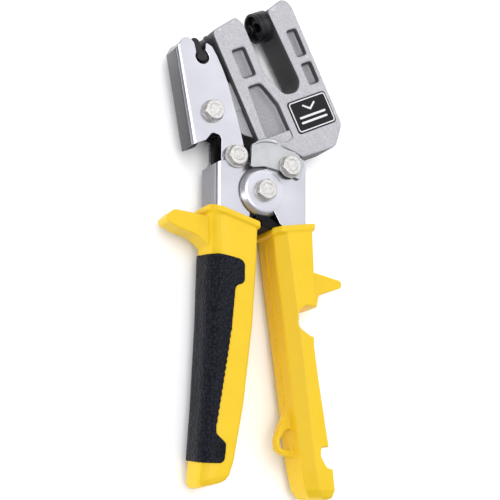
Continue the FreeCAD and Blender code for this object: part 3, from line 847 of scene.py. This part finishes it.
# Rubber parts inside: a moulded stop pressed into the right channel between the
# handles, and a rubber-dipped steel bar that rides in the rocker's notch.
def rubber_material(name, dark, light, roughness, pebble, depth, glint_colour):
    material = finish_material(name, dark, light, (0.05, 0.052, 0.06), roughness, metallic=0.0,
                               fine=2600.0, broad=150.0, depth=0.2)
    nodes = material.node_tree.nodes
    links = material.node_tree.links
    place = nodes.new("ShaderNodeTexCoord")
    stretch = nodes.new("ShaderNodeMapping")
    stretch.inputs["Scale"].default_value = (1.0, 0.8, 1.0)
    cells = nodes.new("ShaderNodeTexVoronoi")
    cells.feature = "SMOOTH_F1"
    cells.inputs["Scale"].default_value = pebble
    cells.inputs["Smoothness"].default_value = 0.35
    cells.inputs["Randomness"].default_value = 0.72
    height = nodes.new("ShaderNodeMath")
    height.operation = "SUBTRACT"
    height.inputs[0].default_value = 1.0
    bump = nodes.new("ShaderNodeBump")
    bump.inputs["Strength"].default_value = depth
    bump.inputs["Distance"].default_value = 0.5 * millimetre
    skin = nodes["Principled BSDF"]
    skin.inputs["Specular IOR Level"].default_value = 0.08
    links.new(place.outputs["Object"], stretch.inputs["Vector"])
    links.new(stretch.outputs["Vector"], cells.inputs["Vector"])
    links.new(cells.outputs["Distance"], height.inputs[1])
    links.new(height.outputs[0], bump.inputs["Height"])
    fine = next(n for n in nodes if n.type == "GROUP" and n.node_tree == grain)
    links.new(fine.outputs["Normal"], bump.inputs["Normal"])
    links.new(bump.outputs["Normal"], skin.inputs["Normal"])
    # Painted highlight: the tops of the pebbles are painted lighter, toward the glint colour.
    tops = nodes.new("ShaderNodeMapRange")
    tops.inputs["From Min"].default_value = 0.45
    tops.inputs["From Max"].default_value = 0.9
    painted_glint = nodes.new("ShaderNodeMix")
    painted_glint.data_type = "RGBA"
    painted_glint.inputs["B"].default_value = glint_colour + (1,)
    shade = skin.inputs["Base Color"].links[0].from_socket
    links.new(height.outputs[0], tops.inputs["Value"])
    links.new(tops.outputs["Result"], painted_glint.inputs["Factor"])
    links.new(shade, painted_glint.inputs["A"])
    links.new(painted_glint.outputs["Result"], skin.inputs["Base Color"])
    return material


# The lighter pebble tops of the rubber stop and bar are a painted highlight.
dipped_rubber = rubber_material(
    "dipped_rubber", dark=(0.002, 0.002, 0.002), light=(0.005, 0.005, 0.006), roughness=0.36,
    pebble=300.0, depth=0.15, glint_colour=(0.006, 0.006, 0.007))
stop = blank("stop_rubber", [(-4.8, -12.5, 1.2), (2.4, -12.7, 1.5), (8.2, -15.9, 1), (14.4, -16.2),
                             (15.4, -34, 1), (13.5, -34, 1), (11.4, -24, 1), (10.4, -17.2), (5.3, -18.1),
                             (5.2, -19.4, 0.8), (3.0, -19.3, 1.5), (-0.6, -17.8, 1.2), (-1.3, -15.4, 1),
                             (-4.3, -14.9, 0.6)], -9.85, 11.25)
eased(stop, 0.5, segments=3)
dipped = blank("notch_bar", [(-24, 9.6, 1), (-24.35, 17), (-24.35, 28.1, 2.0), (-20.1, 28.1, 1.4),
                             (-20.1, 9.6, 1)], -1.4, 3.0)
add(dipped, blank("pin", circle((-20.8, 14), 1.25, 24), -6.05, 6.05))
eased(dipped, 0.4, segments=3)
for piece, node, body in ((stop, "stop_block", "right_handle"), (dipped, "rocker_bar", "rocker")):
    piece.data.materials.append(dipped_rubber)
    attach(piece, body)
    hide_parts(node)


# Grips: yellow moulded plastic shells pushed over the channels, with a rolled
# collar, a thumb guard and softly rounded corners from the mould. The right one
# also has two open notches and a cord loop. A station is a section across the
# grip: its y, left and right edge, half thickness, corner size and slope.
# The flanks of the grips are painted lighter than their faces by sides: painted light.
yellow_plastic = finish_material(
    "yellow_plastic", dark=(0.60, 0.395, 0.010), light=(0.65, 0.435, 0.014), worn=(0.70, 0.50, 0.04),
    roughness=0.42, metallic=0.0, fine=1500.0, broad=90.0, depth=0.10, rough_swing=0.1, sides=1.3,
    gloss=0.22)
left_profile = [(-148.2, -31.6, -21.6, 9.2, 4, 0.27), (-147.4, -33.0, -19.8, 11.0, 4.2, 0.27),
                (-145.0, -34.0, -18.3, 12.0, 4.4, 0.22), (-137, -33.2, -16.3, 12.6, 4.5, 0.05),
                (-110, -31.2, -11.4, 12.8, 4.5, 0), (-70, -29.4, -6.4, 13.0, 5, 0),
                (-34, -28.4, -4.0, 13.2, 5, -0.05), (-15, -28.6, -3.6, 12.9, 4, -0.27)]
left_collar = [(-17.2, -28.6, -3.6, 12.9, 4, -0.27), (-16.2, -29.9, -2.3, 14.0, 4, -0.27),
               (-13.3, -29.9, -2.3, 14.0, 4, -0.27)]
right_profile = [(-153.6, 29.4, 38.6, 8.6, 3.5, 0), (-152.4, 27.0, 40.6, 10.6, 4, 0),
                 (-149.0, 24.8, 41.5, 12.2, 4.4, 0), (-140, 22.8, 40.4, 12.8, 4.6, 0),
                 (-127, 20.8, 37.8, 13, 4.5, 0), (-95, 16.6, 32.8, 13.2, 5, 0),
                 (-77, 14.2, 30.2, 13.4, 5, 0), (-57, 11.6, 30.8, 13.6, 5, 0),
                 (-38, 9.0, 30.4, 13.5, 5, 0.05), (-17, 6.8, 29.4, 13.4, 4.4, 0.18)]
right_collar = [(-19.8, 6.9, 29.3, 13.4, 4.4, 0.18), (-18.8, 5.6, 30.6, 14.0, 4.0, 0.18),
                (-15.9, 5.6, 30.6, 14.0, 4.0, 0.18)]


def moulded(name, stations, grow=0.0, bends=6, inner=(0.5, 0.6), outer=(1.9, 1.9)):
    rings = []
    for y, left, right, half, corner, slope in stations:
        a = left - grow
        b = right + grow
        h = half + grow
        mid = (left + right) / 2
        ring = []
        for cx, cf, wide, turn in (
                (b, h, inner, 0), (a, h, outer, 90), (a, -h, outer, 180), (b, -h, inner, 270)):
            reach_x = corner * wide[0]
            reach_f = corner * wide[1]
            side_x = 1 if cx == b else -1
            side_f = 1 if cf == h else -1
            for k in range(bends + 1):
                angle = math.radians(turn + 90 * k / bends)
                ring.append((cx - side_x * reach_x + math.cos(angle) * reach_x,
                             cf - side_f * reach_f + math.sin(angle) * reach_f))
        rings.append([at(x, y + slope * (x - mid), f) for x, f in ring])
    return skinned(name, rings)


# The parting line of the mould stands a little proud along the left flank.
def seam(stations, low, high, proud):
    rings = []
    for y, left, right, half, corner, slope in stations:
        rings.append([at(left - proud, y, low + 0.3), at(left + 2, y, low),
                      at(left + 2, y, high), at(left - proud, y, high - 0.3)])
    return skinned("seam", rings)


left_shell = moulded("left_grip_shell", left_profile)
add(left_shell, moulded("collar", left_collar),
    blank("guard", [(-53, -19.4, 2.5), (-46.8, -13.6, 2.5), (-30, -14.8), (-20, -16), (-20, -32),
                    (-27.4, -31.0, 3), (-34.4, -25.4, 6), (-43, -23.2, 3)], -6.0, 6.0))
cut(left_shell, blank("mouth", [(-26.1, -48), (-26.1, 10), (-7.9, 10), (-7.9, -9), (-9.3, -48)],
                      -9.45, 9.45))
cast(left_shell, voxel=0.42, rounds=3, keep=0.3)
left_shell.data.materials.append(yellow_plastic)
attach(left_shell, "left_handle")
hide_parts("left_grip")

right_shell = moulded("right_grip_shell", right_profile, bends=1, inner=(0.6, 1.0), outer=(1.25, 1.1))
add(right_shell, moulded("collar", right_collar, bends=1, inner=(0.6, 1.0), outer=(0.9, 1.0)),
    seam(right_profile[4:-1] + [(-24, 7.5, 29, 13, 4, 0)], -1.8, -0.6, 0.6),
    blank("guard", [(20, -34), (30.0, -37.6, 2), (47.9, -41.0, 1.8), (48.6, -44.6, 1.8), (34.6, -49.6, 2),
                    (33.2, -56.6, 1), (20, -57)], -6.2, 6.2),
    blank("loop", [(22, -101), (18.2, -108, 6), (13.8, -117, 5), (11.2, -123.8, 4), (11.8, -129.8, 3),
                   (16.5, -132.2, 2.5), (24, -133.2)],
          -2.2, 2.2))
cut(right_shell, blank("notch", [(60, -57.2), (22.6, -57.4, 2), (18.9, -61, 3), (19.1, -68.8, 3),
                                 (25.6, -72.8, 2), (60, -78)], -20, 20),
    blank("notch", [(60, -127.2), (31.4, -127.8, 1.5), (30.8, -132.4, 3), (34.8, -138.4, 3),
                    (60, -140.4)], -20, 20),
    blank("eye", [(20.0, -118.6, 1), (17.0, -119.4, 1), (13.5, -124.4, 2), (14.1, -128.6, 1.5),
                  (20.4, -129.6, 1)], -2.6, 2.6),
    blank("mouth", panel(9.6, -18, 24.35, 10), -11.75, 12.95))
cast(right_shell, voxel=0.42, rounds=3, keep=0.3)
right_shell.data.materials.append(yellow_plastic)
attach(right_shell, "right_handle")
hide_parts("right_grip")


# Grip inlay: a soft black rubber pad moulded over the outer side of the left
# grip, with a pebbled face, a finely notched edge and a little height.
# The lighter pebble tops of the inlay are a painted highlight.
pebbled_rubber = rubber_material(
    "pebbled_rubber", dark=(0.002, 0.0023, 0.0042), light=(0.005, 0.0056, 0.010), roughness=0.42,
    pebble=800.0, depth=0.9, glint_colour=(0.015, 0.017, 0.025))
inlay_proud = 0.75
inlay_root = -1.2
bottom_slant = 0.13
serrations = 30
serration_pitch = 1.6
inlay_edge = [(-18.6 - 0.16 * serration_pitch * k + (0.3 if k % 2 else -0.2), -71 - serration_pitch * k)
              for k in range(1, serrations + 1)]
inlay_top = [(-50, -37.2), (-25, -34.6, 8), (-11.6, -36.8, 4), (-11.6, -48.6, 3), (-16.6, -50.2, 3),
             (-18.6, -71)]
inlay_bottom = [(-26.6, -123.2, 2), (-21.2, -128.0, 2), (-22.2, -137.4, 3), (-50, -138.2)]
pad = moulded("left_inlay_pad", left_profile, inlay_proud)
region = blank("region", inlay_top + inlay_edge + inlay_bottom, -20, 20)
for corner in region.data.vertices:
    corner.co.y += bottom_slant * (8.0 * millimetre - (corner.co.z - main_pivot.z))
joined(pad, [region], "INTERSECT")
cut(pad, moulded("core", left_profile, inlay_root),
    blank("far_side", panel(-20, -160, 4, 0), -20, 0))
cast(pad, voxel=0.45, rounds=4, keep=0.4)
pad.data.materials.append(pebbled_rubber)
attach(pad, "left_handle")
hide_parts("left_grip_inlay")
